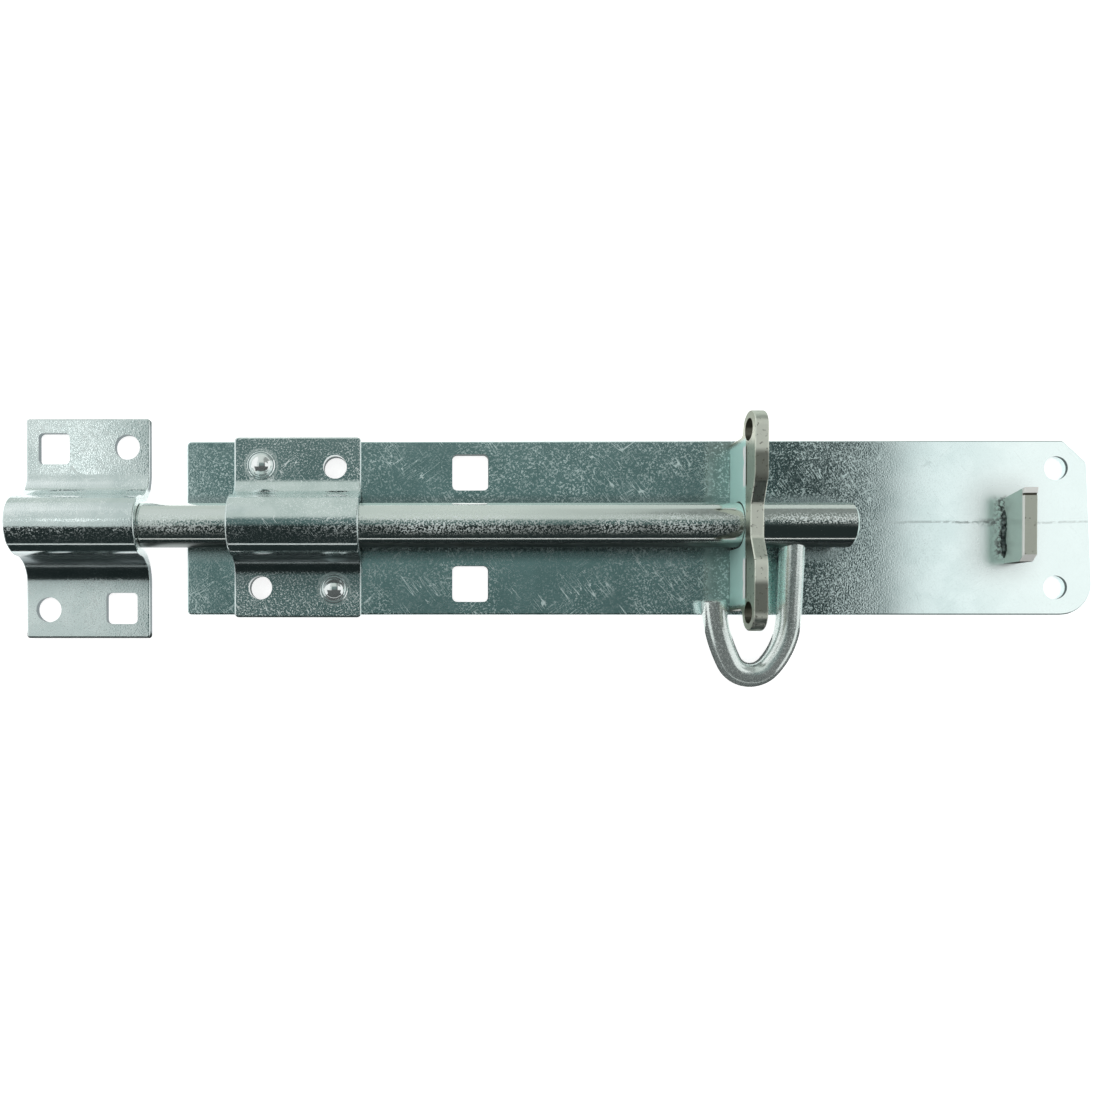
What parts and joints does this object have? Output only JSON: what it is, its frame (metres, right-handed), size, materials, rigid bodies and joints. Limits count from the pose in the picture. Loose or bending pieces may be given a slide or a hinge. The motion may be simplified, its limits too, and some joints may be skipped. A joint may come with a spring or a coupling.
{
  "type": "padbolt",
  "caption": "Steel plate carrying a round sliding bolt under a riveted strap and through an eared padlock lug, with a bent hook handle, a stop tab and a separate keep.",
  "frame": {"origin": "centre of the plate on its back face, where it lies on the door", "axes": "+X along the bolt away from the keep, +Z away from the door, +Y across the plate"},
  "size_m": [0.2946, 0.0743, 0.0221],
  "materials": {
    "plate_zinc": "bright zinc plating",
    "pressed_zinc": "bright zinc plating",
    "rivet_zinc": "bright zinc plating",
    "bar_zinc": "bright zinc plating",
    "lug_zinc": "bright zinc plating",
    "hook_zinc": "bright zinc plating"
  },
  "bodies": {
    "base": {"base_plate": "plate_zinc", "guide_strap": "pressed_zinc", "strap_rivets": "rivet_zinc", "locking_lug": "lug_zinc", "stop_tab": "lug_zinc", "keep": "pressed_zinc"},
    "bolt": {"bolt_bar": "bar_zinc"},
    "hook": {"hook_handle": "hook_zinc"}
  },
  "joints": [
    {"name": "bolt_slide", "type": "slide", "parent": "base", "child": "bolt", "axis": [1, 0, 0], "range_m": [-0.0065, 0]},
    {"name": "hook_turn", "type": "hinge", "parent": "bolt", "child": "hook", "pos_m": [0.04, 0, 0.0088], "axis": [-1, 0, 0], "range_deg": [0, 193]}
  ]
}
